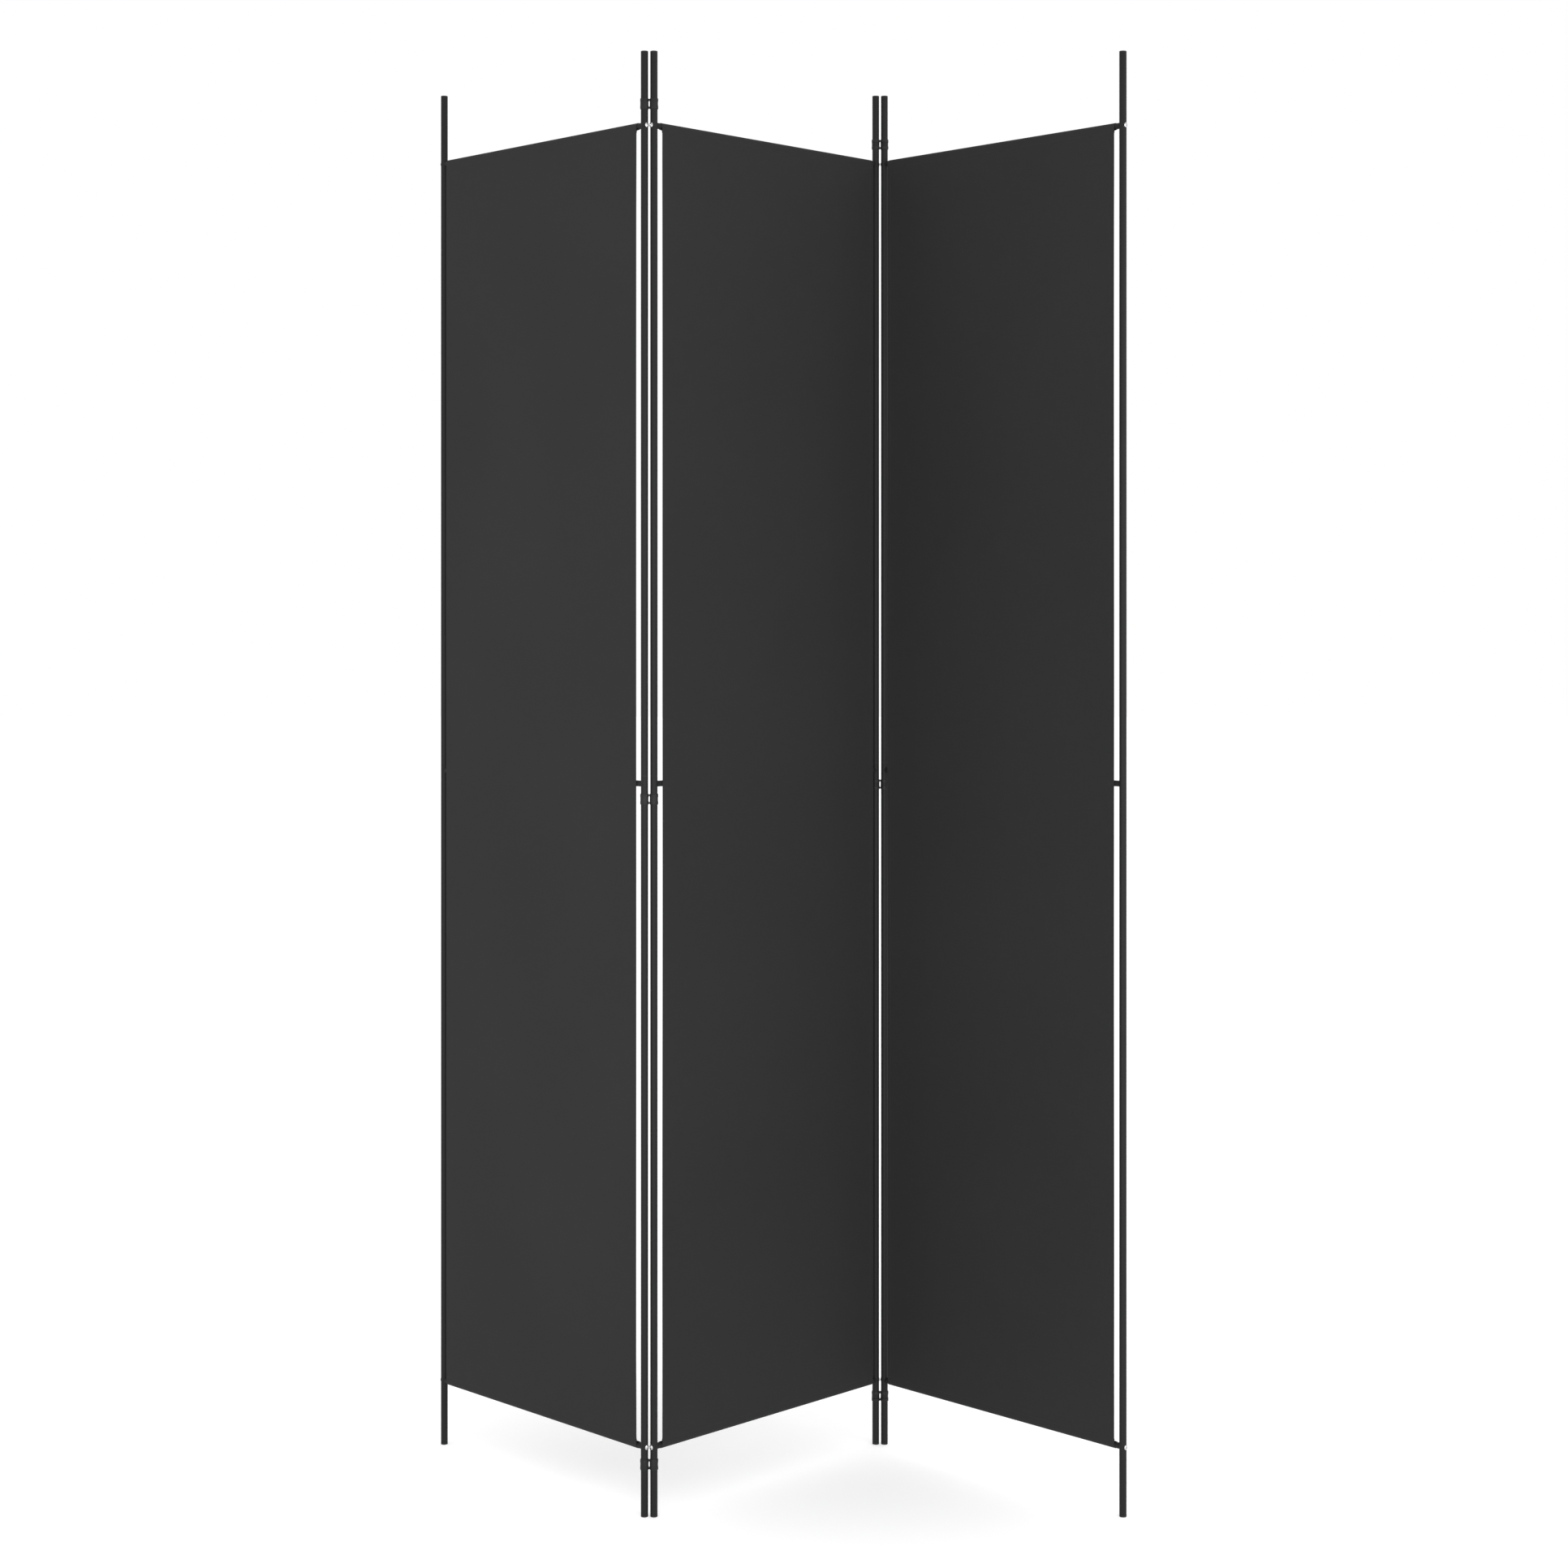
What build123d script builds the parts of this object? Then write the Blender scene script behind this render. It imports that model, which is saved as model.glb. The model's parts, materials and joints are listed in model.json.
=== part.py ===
"""Folding room divider screen: three cloth panels in tube frames, joined by ring clips into a zigzag.

Frame: millimetres, +Z up, the screen stands on Z = 0 and runs along X, with its cloth side towards -Y.
The origin is the centre of the footprint on the floor.
"""
import os
from math import asin, atan2, cos, hypot, radians, sin

from build123d import *

# Whole screen
HEIGHT = 2200.0              # floor to the top of a post
PANEL_WIDTH = 487.9          # from post axis to post axis within a panel
PANEL_TURN = 45.0            # each panel's angle to the X axis, in degrees
POST_PITCH = 14.2            # between the two neighbouring post axes at a fold

# Posts
POST_RADIUS = 5.5
POST_WALL = 0.8
JOINT_HEIGHT = 1112.0        # where the upper tube stands on the lower one
SPIGOT_LENGTH = 60.0
SPIGOT_PLAY = 0.05           # radial
CAP_FLANGE = 2.0
CAP_PLUG_LENGTH = 12.0
CAP_PLUG_WALL = 1.2
CAP_EDGE = 0.5

# Rails
RAIL_RADIUS = 4.5
RAIL_WALL = 0.7
TOP_RAIL_HEIGHT = 2088.8
MIDDLE_RAIL_HEIGHT = 1100.0
BOTTOM_RAIL_HEIGHT = 104.6
RAIL_SEAT_GAP = 0.02         # between a rail's coped end and its post

# Rail screws and the threaded plugs that they go into
SCREW_HEAD_RADIUS = 3.6
SCREW_HEAD_HEIGHT = 1.4
SCREW_HEAD_RIM = 0.4
SCREW_SHANK_RADIUS = 1.95
SCREW_LENGTH = 26.0          # under the head
SCREW_HOLE_RADIUS = 2.1
CROSS_WIDTH = 0.7
CROSS_LENGTH = 3.6
CROSS_DEPTH = 0.8
PLUG_LENGTH = 16.0
PLUG_BORE_RADIUS = 2.0
PLUG_SEAT = 7.0              # from the post axis to the plug's outer end

# Pins of the middle rail's end plugs
PIN_RADIUS = 2.0
PIN_REACH = 3.4              # from the post axis to the pin's end
PIN_HOLE_RADIUS = 2.1

# Cloth
CLOTH_SIDE_GAP = 12.3        # from a post axis to the cloth's edge
CLOTH_FACE = 5.1             # from the frame's middle plane to the cloth's front face
CLOTH_THICKNESS = 0.5
POCKET_PLAY = 0.05           # between a rail and its pocket
POCKET_DROP = 7.0            # from a rail's axis to the seam that closes its pocket

# Hinge clips
CLIP_HEIGHT = 16.0
CLIP_PLAY = 0.05             # radial, ring to post
CLIP_RING_RADIUS = 6.5
CLIP_BRIDGE_OFFSET = 5.8     # of each bridge from the clip's mid height
CLIP_BRIDGE_HEIGHT = 2.2
CLIP_BRIDGE_DEPTH = 5.6
CLIP_BRIDGE_LENGTH = 2.6
CLIP_WINDOW_HEIGHT = 7.0     # opening in the rings on the inner side of the fold
CLIP_WINDOW_PAST = 2.0       # how far the opening runs past the rings' own middle plane
CLIP_HEIGHTS = {"top": 2121.0, "middle": 1077.0, "bottom": 78.5}

# Places of the panels, from the left end to the right end
REACH_X = PANEL_WIDTH * cos(radians(PANEL_TURN))
REACH_Y = PANEL_WIDTH * sin(radians(PANEL_TURN))
PANELS = {
    "left": ((-1.5 * REACH_X - POST_PITCH, REACH_Y / 2), -PANEL_TURN),
    "middle": ((-REACH_X / 2, -REACH_Y / 2), PANEL_TURN),
    "right": ((REACH_X / 2 + POST_PITCH, REACH_Y / 2), -PANEL_TURN),
}
FOLDS = {
    "left": (-REACH_X / 2 - POST_PITCH / 2, -REACH_Y / 2, 1),
    "right": (REACH_X / 2 + POST_PITCH / 2, REACH_Y / 2, -1),
}
RAIL_HEIGHTS = {"top": TOP_RAIL_HEIGHT, "middle": MIDDLE_RAIL_HEIGHT, "bottom": BOTTOM_RAIL_HEIGHT}
SCREWED_HEIGHTS = (TOP_RAIL_HEIGHT, BOTTOM_RAIL_HEIGHT)
RAIL_BORE_RADIUS = RAIL_RADIUS - RAIL_WALL
POST_BORE_RADIUS = POST_RADIUS - POST_WALL


def panel_frame(name):
    """The plane of a panel's floor line: x along the panel from its left post, y to the back, z up."""
    (x, y), turn = PANELS[name]
    return Plane(origin=(x, y, 0), x_dir=(cos(radians(turn)), sin(radians(turn)), 0), z_dir=(0, 0, 1))


def upright(frame, along, height):
    """A level plane on a panel's middle line, for what stands along Z."""
    return Plane(origin=frame.from_local_coords((along, 0, height)), x_dir=frame.x_dir, z_dir=(0, 0, 1))


def crosswise(frame, along, height, facing=1):
    """A plane square to the rails. Its normal runs along the panel, to the right for facing 1."""
    origin = frame.from_local_coords((along, 0, height))
    return Plane(origin=origin, x_dir=frame.y_dir, z_dir=frame.x_dir * facing)


def finish(part, name):
    part.label = name
    export_step(part, f"parts/{name}.step")


def post_tube(frame, along, bottom, top, spigot):
    """One half of a post, with a reduced end below it if spigot is true."""
    with BuildPart() as tube:
        with BuildSketch(upright(frame, along, bottom)):
            Circle(POST_RADIUS)
            Circle(POST_BORE_RADIUS, mode=Mode.SUBTRACT)
        extrude(amount=top - bottom)
        if spigot:
            spigot_radius = POST_BORE_RADIUS - SPIGOT_PLAY
            with BuildSketch(upright(frame, along, bottom - SPIGOT_LENGTH)):
                Circle(spigot_radius)
                Circle(spigot_radius - POST_WALL, mode=Mode.SUBTRACT)
            extrude(amount=SPIGOT_LENGTH)
            with BuildSketch(upright(frame, along, bottom)):
                Circle(POST_RADIUS)
                Circle(spigot_radius - POST_WALL, mode=Mode.SUBTRACT)
            extrude(amount=POST_WALL)
        for height in SCREWED_HEIGHTS:
            if bottom < height < top:
                with BuildSketch(crosswise(frame, along, height)):
                    Circle(SCREW_HOLE_RADIUS)
                extrude(amount=2 * POST_RADIUS, both=True, mode=Mode.SUBTRACT)
        inward = 1 if along == 0 else -1
        with BuildSketch(crosswise(frame, along, MIDDLE_RAIL_HEIGHT, inward)):
            Circle(PIN_HOLE_RADIUS)
        extrude(amount=2 * POST_RADIUS, mode=Mode.SUBTRACT)
    return tube.part


def post_caps(frame, height, plug_side):
    """The pair of caps at one level of a panel. Each plug points up for plug_side 1 and down for -1."""
    with BuildPart() as caps:
        for along in (0, PANEL_WIDTH):
            rim = Plane(origin=frame.from_local_coords((along, 0, height)),
                        x_dir=frame.x_dir, z_dir=(0, 0, plug_side))
            with BuildSketch(rim):
                Circle(POST_RADIUS)
            flange = extrude(amount=CAP_FLANGE)
            chamfer(flange.edges().sort_by(Axis.Z)[0 if plug_side == 1 else -1], CAP_EDGE)
            with BuildSketch(rim.offset(CAP_FLANGE)):
                Circle(POST_BORE_RADIUS)
                Circle(POST_BORE_RADIUS - CAP_PLUG_WALL, mode=Mode.SUBTRACT)
            extrude(amount=CAP_PLUG_LENGTH)
    return caps.part


def rail(frame, height):
    """A rail of a panel, coped at both ends to sit against the round posts."""
    with BuildPart() as tube:
        with BuildSketch(crosswise(frame, 0, height)):
            Circle(RAIL_RADIUS)
            Circle(RAIL_BORE_RADIUS, mode=Mode.SUBTRACT)
        extrude(amount=PANEL_WIDTH)
        for along in (0, PANEL_WIDTH):
            with BuildSketch(upright(frame, along, height)):
                Circle(POST_RADIUS + RAIL_SEAT_GAP)
            extrude(amount=2 * RAIL_RADIUS, both=True, mode=Mode.SUBTRACT)
    return tube.part


def rail_ends(frame, height):
    """The crosswise planes on a rail's two post axes, each facing into the rail."""
    return (crosswise(frame, 0, height, 1), crosswise(frame, PANEL_WIDTH, height, -1))


def threaded_plugs(frame):
    """The plugs pressed into the ends of the top and bottom rails."""
    with BuildPart() as plugs:
        for height in SCREWED_HEIGHTS:
            for end in rail_ends(frame, height):
                with BuildSketch(end.offset(PLUG_SEAT)):
                    Circle(RAIL_BORE_RADIUS)
                    Circle(PLUG_BORE_RADIUS, mode=Mode.SUBTRACT)
                extrude(amount=PLUG_LENGTH)
    return plugs.part


def rail_screws(frame):
    """Screws that pass through the posts into the threaded plugs, with low domed cross-recessed heads."""
    with BuildPart() as screws:
        for height in SCREWED_HEIGHTS:
            for end in rail_ends(frame, height):
                seat = end.offset(-POST_RADIUS)
                profile = Plane(origin=seat.origin, x_dir=seat.x_dir, z_dir=seat.y_dir)
                with BuildSketch(profile):
                    with BuildLine():
                        crown = (0, SCREW_HEAD_HEIGHT)
                        middle = (0.6 * SCREW_HEAD_RADIUS, SCREW_HEAD_RIM + 0.72 *
                                  (SCREW_HEAD_HEIGHT - SCREW_HEAD_RIM))
                        rim = (SCREW_HEAD_RADIUS, SCREW_HEAD_RIM)
                        ThreePointArc(crown, middle, rim)
                        Polyline(rim, (SCREW_HEAD_RADIUS, 0), (SCREW_SHANK_RADIUS, 0),
                                 (SCREW_SHANK_RADIUS, -SCREW_LENGTH), (0, -SCREW_LENGTH), crown)
                    make_face()
                revolve(axis=Axis(seat.origin, seat.z_dir))
                with BuildSketch(seat.offset(-SCREW_HEAD_HEIGHT)):
                    Rectangle(CROSS_LENGTH, CROSS_WIDTH)
                    Rectangle(CROSS_WIDTH, CROSS_LENGTH)
                extrude(amount=CROSS_DEPTH, mode=Mode.SUBTRACT)
    return screws.part


def pin_plugs(frame):
    """The end plugs of the middle rail, each with a pin that sits in a hole in the post."""
    with BuildPart() as plugs:
        for end in rail_ends(frame, MIDDLE_RAIL_HEIGHT):
            with BuildSketch(end.offset(PLUG_SEAT)):
                Circle(RAIL_BORE_RADIUS)
            extrude(amount=PLUG_LENGTH)
            with BuildSketch(end.offset(PIN_REACH)):
                Circle(PIN_RADIUS)
            extrude(amount=PLUG_SEAT - PIN_REACH)
    return plugs.part


def pocket_back(toward_middle):
    """Where the cloth leaves the back of a rail to run straight to its seam, from the rail's axis."""
    reach = hypot(CLOTH_FACE, POCKET_DROP)
    slope = atan2(POCKET_DROP, CLOTH_FACE) - asin(CLOTH_FACE / reach)
    run = (reach**2 - CLOTH_FACE**2) ** 0.5
    rise = run * sin(slope) - POCKET_DROP
    return (run * cos(slope) - CLOTH_FACE, -toward_middle * rise)


def cloth(frame):
    """The cloth: a sheet in front of the rails and, above and below its seams, a pocket round each end rail."""
    with BuildPart() as sheet:
        with BuildSketch(crosswise(frame, CLOTH_SIDE_GAP, 0)):
            with Locations((-CLOTH_FACE + CLOTH_THICKNESS / 2, (TOP_RAIL_HEIGHT + BOTTOM_RAIL_HEIGHT) / 2)):
                Rectangle(CLOTH_THICKNESS, TOP_RAIL_HEIGHT - BOTTOM_RAIL_HEIGHT)
            for height, toward_middle in ((TOP_RAIL_HEIGHT, -1), (BOTTOM_RAIL_HEIGHT, 1)):
                back_x, back_rise = pocket_back(toward_middle)
                with BuildLine():
                    Polyline((0, height), (-CLOTH_FACE, height),
                             (-CLOTH_FACE, height + toward_middle * POCKET_DROP),
                             (back_x, height + back_rise), close=True)
                make_face()
                with Locations((0, height)):
                    Circle(CLOTH_FACE)
                    Circle(RAIL_RADIUS + POCKET_PLAY, mode=Mode.SUBTRACT)
        extrude(amount=PANEL_WIDTH - 2 * CLOTH_SIDE_GAP)
        for seam in (TOP_RAIL_HEIGHT - POCKET_DROP, BOTTOM_RAIL_HEIGHT + POCKET_DROP):
            split(bisect_by=Plane.XY.offset(seam), keep=Keep.BOTH)
    return sheet.part


def hinge_clip(x, y, inner_side, height):
    """Two rings joined by two bridges. A window on the inner side of the fold makes each ring springy."""
    with BuildPart() as clip:
        with BuildSketch(Plane(origin=(x, y, height - CLIP_HEIGHT / 2))):
            with Locations((-POST_PITCH / 2, 0), (POST_PITCH / 2, 0)):
                Circle(CLIP_RING_RADIUS)
        extrude(amount=CLIP_HEIGHT)
        for side in (-1, 1):
            bridge_height = height + side * CLIP_BRIDGE_OFFSET - CLIP_BRIDGE_HEIGHT / 2
            with BuildSketch(Plane(origin=(x, y, bridge_height))):
                Rectangle(CLIP_BRIDGE_LENGTH, CLIP_BRIDGE_DEPTH)
            extrude(amount=CLIP_BRIDGE_HEIGHT)
        with BuildSketch(Plane(origin=(x, y, height - CLIP_WINDOW_HEIGHT / 2))):
            with Locations((0, inner_side * (CLIP_RING_RADIUS - CLIP_WINDOW_PAST) / 2)):
                Rectangle(2 * POST_PITCH, CLIP_RING_RADIUS + CLIP_WINDOW_PAST)
        extrude(amount=CLIP_WINDOW_HEIGHT, mode=Mode.SUBTRACT)
        with BuildSketch(Plane(origin=(x, y, height - CLIP_HEIGHT / 2))):
            with Locations((-POST_PITCH / 2, 0), (POST_PITCH / 2, 0)):
                Circle(POST_RADIUS + CLIP_PLAY)
        extrude(amount=CLIP_HEIGHT, mode=Mode.SUBTRACT)
    return clip.part


os.makedirs("parts", exist_ok=True)

for panel in PANELS:
    base = panel_frame(panel)
    for side, place in (("left", 0), ("right", PANEL_WIDTH)):
        finish(post_tube(base, place, CAP_FLANGE, JOINT_HEIGHT, False), f"{panel}_panel_{side}_post_lower")
        finish(post_tube(base, place, JOINT_HEIGHT, HEIGHT - CAP_FLANGE, True), f"{panel}_panel_{side}_post_upper")
    finish(post_caps(base, 0, 1), f"{panel}_panel_foot_caps")
    finish(post_caps(base, HEIGHT, -1), f"{panel}_panel_top_caps")
    for level, rail_height in RAIL_HEIGHTS.items():
        finish(rail(base, rail_height), f"{panel}_panel_{level}_rail")
    finish(threaded_plugs(base), f"{panel}_panel_threaded_plugs")
    finish(rail_screws(base), f"{panel}_panel_rail_screws")
    finish(pin_plugs(base), f"{panel}_panel_pin_plugs")
    finish(cloth(base), f"{panel}_panel_cloth")

for fold, (fold_x, fold_y, inner) in FOLDS.items():
    for level, clip_height in CLIP_HEIGHTS.items():
        finish(hinge_clip(fold_x, fold_y, inner, clip_height), f"{fold}_fold_{level}_clip")
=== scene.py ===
"""Looks for a folding room divider screen: slim tube frames, ring clips and stretched cloth panels.

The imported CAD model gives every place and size. Run as a script, this add-on builds each visible piece
around that frame, in metres, gives it a procedural finish, and sets up a plain pale studio.
"""
import json
import math

import bmesh
import bpy
import numpy as np
from bpy.props import FloatProperty, FloatVectorProperty, IntProperty, PointerProperty
from bpy.types import Operator, Panel, PropertyGroup
from mathutils import Matrix, Vector

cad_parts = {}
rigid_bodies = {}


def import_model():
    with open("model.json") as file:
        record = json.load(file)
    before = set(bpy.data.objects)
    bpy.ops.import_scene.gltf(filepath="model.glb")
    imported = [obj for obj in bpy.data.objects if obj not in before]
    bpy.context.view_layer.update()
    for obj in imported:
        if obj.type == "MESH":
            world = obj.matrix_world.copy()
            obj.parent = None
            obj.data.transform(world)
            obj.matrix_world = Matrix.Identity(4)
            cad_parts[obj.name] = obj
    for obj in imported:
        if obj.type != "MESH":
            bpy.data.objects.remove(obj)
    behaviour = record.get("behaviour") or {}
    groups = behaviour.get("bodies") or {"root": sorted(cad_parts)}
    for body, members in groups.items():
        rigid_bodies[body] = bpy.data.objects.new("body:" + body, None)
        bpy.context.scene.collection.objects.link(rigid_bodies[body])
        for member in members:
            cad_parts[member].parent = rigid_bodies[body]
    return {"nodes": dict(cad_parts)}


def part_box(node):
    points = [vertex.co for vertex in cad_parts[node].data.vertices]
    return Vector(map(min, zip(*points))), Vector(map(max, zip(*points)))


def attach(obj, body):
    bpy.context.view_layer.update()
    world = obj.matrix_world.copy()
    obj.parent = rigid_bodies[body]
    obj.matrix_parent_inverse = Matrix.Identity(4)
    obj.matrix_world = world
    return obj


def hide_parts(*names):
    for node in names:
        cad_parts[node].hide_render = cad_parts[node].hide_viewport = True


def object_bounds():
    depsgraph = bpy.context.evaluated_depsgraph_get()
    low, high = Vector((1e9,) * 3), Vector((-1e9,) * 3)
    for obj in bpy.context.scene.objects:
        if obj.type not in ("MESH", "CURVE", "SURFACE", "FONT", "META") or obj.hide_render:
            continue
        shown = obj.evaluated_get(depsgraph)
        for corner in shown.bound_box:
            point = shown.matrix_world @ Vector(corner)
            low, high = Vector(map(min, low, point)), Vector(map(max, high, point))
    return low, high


bl_info = {
    "name": "Folding Room Divider",
    "version": (1, 0, 0),
    "blender": (4, 5, 0),
    "location": "3D View > Sidebar > Divider",
    "description": "Builds the pieces, finishes and studio of a folding cloth screen around its CAD frame",
    "category": "Object",
}

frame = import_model()
CAD_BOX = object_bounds()

MM = 0.001
LEVELS = ("top", "middle", "bottom")
HOLE_SEGMENTS = 32
TUBE_SEGMENTS = 48
FINE_SEGMENTS = 64
SHARP_ANGLE = math.radians(32)


# Places, read from the CAD frame

def box_middle(node):
    low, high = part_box(node)
    return (low + high) / 2


def box_size(node):
    low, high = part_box(node)
    return high - low


class PanelPlace:
    """Where a panel stands. Its own x runs from its left post's axis to its right one's, its y backwards."""

    def __init__(self, name):
        self.name = name
        self.body = f"{name}_panel"
        left = box_middle(self.node("left_post_lower"))
        right = box_middle(self.node("right_post_lower"))
        run = Vector((right.x - left.x, right.y - left.y, 0))
        along = run.normalized()
        self.width = run.length
        self.matrix = Matrix((
            (along.x, -along.y, 0, left.x),
            (along.y, along.x, 0, left.y),
            (0, 0, 1, 0),
            (0, 0, 0, 1),
        ))

    def node(self, part):
        return f"{self.name}_panel_{part}"

    def span(self, part):
        """The lowest and highest corner of a CAD node, in the panel's own directions."""
        inverse = self.matrix.inverted()
        points = np.array([inverse @ v.co for v in frame["nodes"][self.node(part)].data.vertices])
        return Vector(points.min(0)), Vector(points.max(0))


PLACES = [PanelPlace(name) for name in ("left", "middle", "right")]
POST_RADIUS = box_size("left_panel_left_post_lower").x / 2
RAIL_RADIUS = box_size("left_panel_middle_rail").z / 2
RAIL_HEIGHTS = {level: box_middle(f"left_panel_{level}_rail").z for level in LEVELS}
POST_BOTTOM, JOINT_HEIGHT = (end.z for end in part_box("left_panel_left_post_lower"))
SPIGOT_BOTTOM, POST_TOP = (end.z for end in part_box("left_panel_left_post_upper"))
SCREEN_TOP = CAD_BOX[1].z


# Sizes and colours that a user would change

def length(name, description, default):
    return FloatProperty(name=name, description=description, default=default, min=0, precision=5,
                         subtype="DISTANCE", unit="LENGTH")


def colour(name, description, default):
    return FloatVectorProperty(name=name, description=description, default=default, min=0, max=1,
                               subtype="COLOR", size=3)


class DividerSizes(PropertyGroup):
    """Sizes that the CAD frame leaves open."""
    post_wall: length("Post wall", "Wall thickness of the post tubes", 0.8 * MM)
    rail_wall: length("Rail wall", "Wall thickness of the rail tubes", 0.7 * MM)
    tube_edge: length("Tube edge", "Rounding of the tube ends", 0.25 * MM)
    clip_play: length("Clip play", "Gap between a clip's ring and the post in it", 0.05 * MM)
    clip_edge: length("Clip edge", "Rounding of the moulded clips", 0.7 * MM)
    cloth_thickness: length("Cloth thickness", "Thickness of one layer of cloth", 0.25 * MM)
    cloth_layer: length("Layer distance", "From one folded layer of cloth to the next", 0.3 * MM)
    hem_width: length("Hem width", "How far the side edges are folded back", 9 * MM)
    cloth_slide: FloatVectorProperty(
        name="Cloth slide", description="How far each panel's cloth has slid along its rails, left to right",
        default=(-0.4 * MM, 0.25 * MM, -0.4 * MM), size=3, precision=5, unit="LENGTH")
    pocket_drop: length("Pocket drop", "From a rail's axis to the seam that closes its pocket", 7.0 * MM)
    wave_height: length("Wave height", "Height of the soft waves in the stretched cloth", 0.5 * MM)
    stitch_pitch: length("Stitch pitch", "From one stitch to the next", 3.0 * MM)
    stitch_length: length("Stitch length", "Length of thread that shows in one stitch", 2.3 * MM)
    thread_radius: length("Thread radius", "Radius of the sewing thread", 0.16 * MM)
    seed: IntProperty(name="Seed", description="Seed of everything uneven", default=7, min=0)


class DividerColours(PropertyGroup):
    """Colours of the finishes."""
    cloth: colour("Cloth", "Woven polyester", (0.018, 0.018, 0.0184))
    thread: colour("Thread", "Sewing thread", (0.02, 0.02, 0.0205))
    coat: colour("Powder coat", "Paint on the steel tubes", (0.0115, 0.0115, 0.0119))
    clip: colour("Clips", "Moulded hinge clips", (0.0125, 0.0125, 0.0129))
    cap: colour("Caps", "Moulded end caps", (0.014, 0.014, 0.0145))
    plug: colour("Plugs", "Moulded plugs inside the rails", (0.09, 0.09, 0.095))
    screw: colour("Screws", "Bright zinc plate", (0.62, 0.62, 0.64))
    floor: colour("Floor", "Studio floor", (0.8, 0.8, 0.8))


# Shader maths

def add_node(tree, kind, settings, values):
    """Adds a node: its settings first, then the numbers or links of its sockets."""
    made = tree.nodes.new(kind)
    for key, value in settings.items():
        setattr(made, key, value)
    for key, value in values.items():
        if isinstance(value, bpy.types.NodeSocket):
            tree.links.new(value, made.inputs[key])
        else:
            made.inputs[key].default_value = value
    return made


def maths(operation, reflected=False):
    """An operator of Wire, which adds one maths node to the wire's finish."""
    def apply(wire, *others):
        terms = (*others, wire) if reflected else (wire, *others)
        return wire.finish.node("ShaderNodeMath", {"operation": operation}, dict(enumerate(terms)))
    return apply


class Wire:
    """The output of a shader node, which sums and products can be written with."""
    __add__, __radd__ = maths("ADD"), maths("ADD", reflected=True)
    __sub__, __rsub__ = maths("SUBTRACT"), maths("SUBTRACT", reflected=True)
    __mul__, __rmul__ = maths("MULTIPLY"), maths("MULTIPLY", reflected=True)
    __truediv__ = maths("DIVIDE")
    __gt__ = maths("GREATER_THAN")
    __abs__ = maths("ABSOLUTE")
    sine = maths("SINE")

    def __init__(self, finish, output):
        self.finish = finish
        self.output = output

    def clamped(self):
        return self.finish.node("ShaderNodeMath", {"operation": "ADD", "use_clamp": True}, {0: self, 1: 0.0})


class Finish:
    """A material under construction."""

    def __init__(self, name):
        self.material = bpy.data.materials.new(name)
        self.material.use_nodes = True
        self.tree = self.material.node_tree
        self.tree.nodes.clear()

    def node(self, kind, settings, values, output=0):
        values = {key: value.output if isinstance(value, Wire) else value for key, value in values.items()}
        return Wire(self, add_node(self.tree, kind, settings, values).outputs[output])

    def uv_map(self, name):
        return self.node("ShaderNodeUVMap", {"uv_map": name}, {})

    def part(self, vector, axis):
        """One of the three numbers of a vector."""
        return self.node("ShaderNodeSeparateXYZ", {}, {0: vector}, output=axis)

    def stretched(self, vector, scale):
        return self.node("ShaderNodeMapping", {}, {"Vector": vector, "Scale": scale})

    def place(self, scale=(1, 1, 1)):
        """Object coordinates, stretched by scale."""
        return self.stretched(self.node("ShaderNodeTexCoord", {}, {}, output="Object"), scale)

    def noise(self, where, scale, detail=2.0, roughness=0.5):
        return self.node("ShaderNodeTexNoise", {},
                         {"Vector": where, "Scale": scale, "Detail": detail, "Roughness": roughness})

    def blend(self, factor, first, second):
        """A colour between two colours."""
        values = {0: factor, 6: first, 7: second}
        return self.node("ShaderNodeMix", {"data_type": "RGBA"}, values, output=2)

    def bump(self, height, distance, strength):
        return self.node("ShaderNodeBump", {},
                         {"Height": height, "Distance": distance, "Strength": strength})

    def surface(self, **values):
        """Ends the finish with its one surface shader, and returns the material."""
        names = {key.replace("_", " ").title().replace("Ior", "IOR"): value for key, value in values.items()}
        shader = self.node("ShaderNodeBsdfPrincipled", {}, names)
        add_node(self.tree, "ShaderNodeOutputMaterial", {}, {"Surface": shader.output})
        return self.material


def shade(rgb, factor):
    return (*(min(1.0, channel * factor) for channel in rgb), 1.0)


def woven_cloth(rgb):
    """Plain weave from the cloth's own UV map, in metres, with uneven threads, a dull sheen, and painted
    shade that darkens the weave where its threads dip.
    """
    finish = Finish("woven_cloth")
    thread_pitch = 0.42 * MM
    uv = finish.uv_map("cloth")
    warp = (finish.part(uv, 0) * (math.pi / thread_pitch)).sine()
    weft = (finish.part(uv, 1) * (math.pi / thread_pitch)).sine()
    over = (warp * weft) > 0.0
    height = over * abs(warp) + (1.0 - over) * abs(weft)
    thin, long = 900, 22
    warp_slub = finish.noise(finish.stretched(uv, (thin, long, 1)), 1.0)
    weft_slub = finish.noise(finish.stretched(uv, (long, thin, 1)), 1.0)
    slub = over * warp_slub + (1.0 - over) * weft_slub
    drift = finish.noise(finish.place(), 3.0, detail=3.0)
    # Painted shade: the weave's height darkens the colour where the threads dip; slubs and drift add the
    # threads' own uneven tone.
    weave_shade_and_tone = (height * 0.35 + slub * 0.5 + drift * 0.25).clamped()
    base = finish.blend(weave_shade_and_tone, shade(rgb, 0.5), shade(rgb, 1.45))
    normal = finish.bump(height * 0.8 + slub * 0.5, 0.07 * MM, 0.8)
    return finish.surface(
        base_color=base, roughness=0.8 + slub * 0.18, normal=normal, specular_ior_level=0.09,
        sheen_weight=0.085, sheen_roughness=0.45, sheen_tint=(0.8, 0.8, 0.85, 1.0),
    )


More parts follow.
